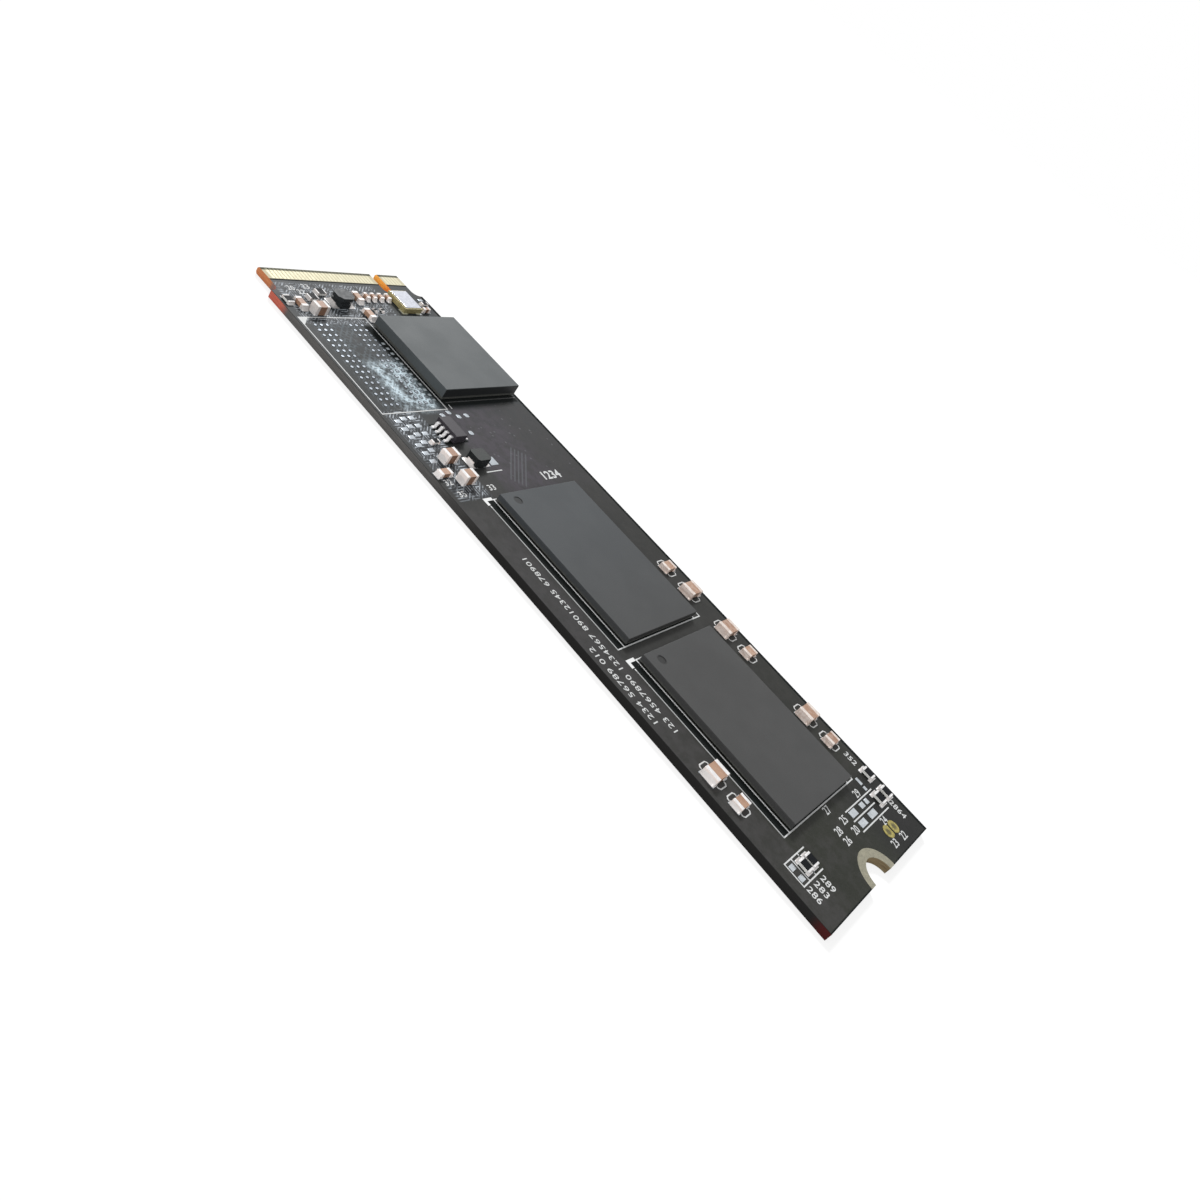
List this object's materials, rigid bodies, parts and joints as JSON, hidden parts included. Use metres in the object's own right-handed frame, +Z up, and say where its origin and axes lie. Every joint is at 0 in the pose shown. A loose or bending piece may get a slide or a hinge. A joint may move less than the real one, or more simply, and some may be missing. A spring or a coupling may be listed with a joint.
{
  "type": "nvme ssd",
  "caption": "Bare solid-state drive on a narrow circuit board: controller and flash packages on one side, gold edge fingers with a key slot, half-round screw notch.",
  "frame": {"origin": "middle of the board's outline, on its underside", "axes": "+Y along the board towards the gold fingers, +X across it towards the key slot, +Z up out of the parts side"},
  "size_m": [0.022, 0.08, 0.0022],
  "materials": {
    "board": "dark olive solder mask over glass laminate",
    "gold_fingers": "hard gold plating, satin",
    "land_plating": "dull plated copper",
    "mold": "dark grey moulding compound, fine grain",
    "controller_mold": "mid grey moulding compound, fine grain",
    "substrate": "laminate edge",
    "silicon": "polished silicon",
    "solder": "bright solder",
    "copper_pad": "tinned copper pad",
    "ball_pad": "tinned ball pad",
    "jumper_pad": "gold flash over copper",
    "ferrite": "moulded ferrite powder",
    "winding": "enamelled copper",
    "crystal_ceramic": "ceramic tub with a plated rim",
    "crystal_metal": "plated lid",
    "quartz": "clear quartz plate",
    "regulator_mold": "black moulding compound",
    "tin": "matte tin plating",
    "capacitor_ceramic": "fired ceramic, tan",
    "alumina": "white alumina",
    "resistor_coat": "black glaze",
    "white_ink": "printed white ink"
  },
  "bodies": {
    "root": {"bare_pads": "copper_pad", "bracket_ink": "white_ink", "bypass_capacitor_bodies": "capacitor_ceramic", "bypass_capacitor_terminals": "tin", "circuit_board": "board", "component_pads": "copper_pad", "controller_die": "silicon", "controller_mold_cap": "controller_mold", "controller_solder_balls": "solder", "controller_substrate": "substrate", "coupling_capacitor_bodies": "capacitor_ceramic", "coupling_capacitor_terminals": "tin", "crystal_base": "crystal_ceramic", "crystal_blank": "quartz", "crystal_lid": "crystal_metal", "crystal_terminals": "gold_fingers", "edge_contacts_bottom": "gold_fingers", "edge_contacts_top": "gold_fingers", "flash_1_dies": "silicon", "flash_1_mold_cap": "mold", "flash_1_solder_balls": "solder", "flash_1_substrate": "substrate", "flash_2_dies": "silicon", "flash_2_mold_cap": "mold", "flash_2_solder_balls": "solder", "flash_2_substrate": "substrate", "input_inductor_coil": "winding", "input_inductor_core": "ferrite", "input_inductor_terminals": "tin", "jumper_pads": "jumper_pad", "large_capacitor_bodies": "capacitor_ceramic", "large_capacitor_terminals": "tin", "marker_ink": "white_ink", "medium_capacitor_bodies": "capacitor_ceramic", "medium_capacitor_terminals": "tin", "memory_footprint_pads": "ball_pad", "outline_ink": "white_ink", "output_inductor_coil": "winding", "output_inductor_core": "ferrite", "output_inductor_terminals": "tin", "regulator_body": "regulator_mold", "regulator_die": "silicon", "regulator_leads": "tin", "resistor_bodies": "alumina", "resistor_coats": "resistor_coat", "resistor_terminals": "tin", "screw_land": "land_plating", "small_capacitor_bodies": "capacitor_ceramic", "small_capacitor_terminals": "tin", "small_resistor_bodies": "alumina", "small_resistor_coats": "resistor_coat", "small_resistor_terminals": "tin", "tall_capacitor_bodies": "capacitor_ceramic", "tall_capacitor_terminals": "tin", "wide_resistor_bodies": "alumina", "wide_resistor_coats": "resistor_coat", "wide_resistor_terminals": "tin"}
  },
  "joints": []
}
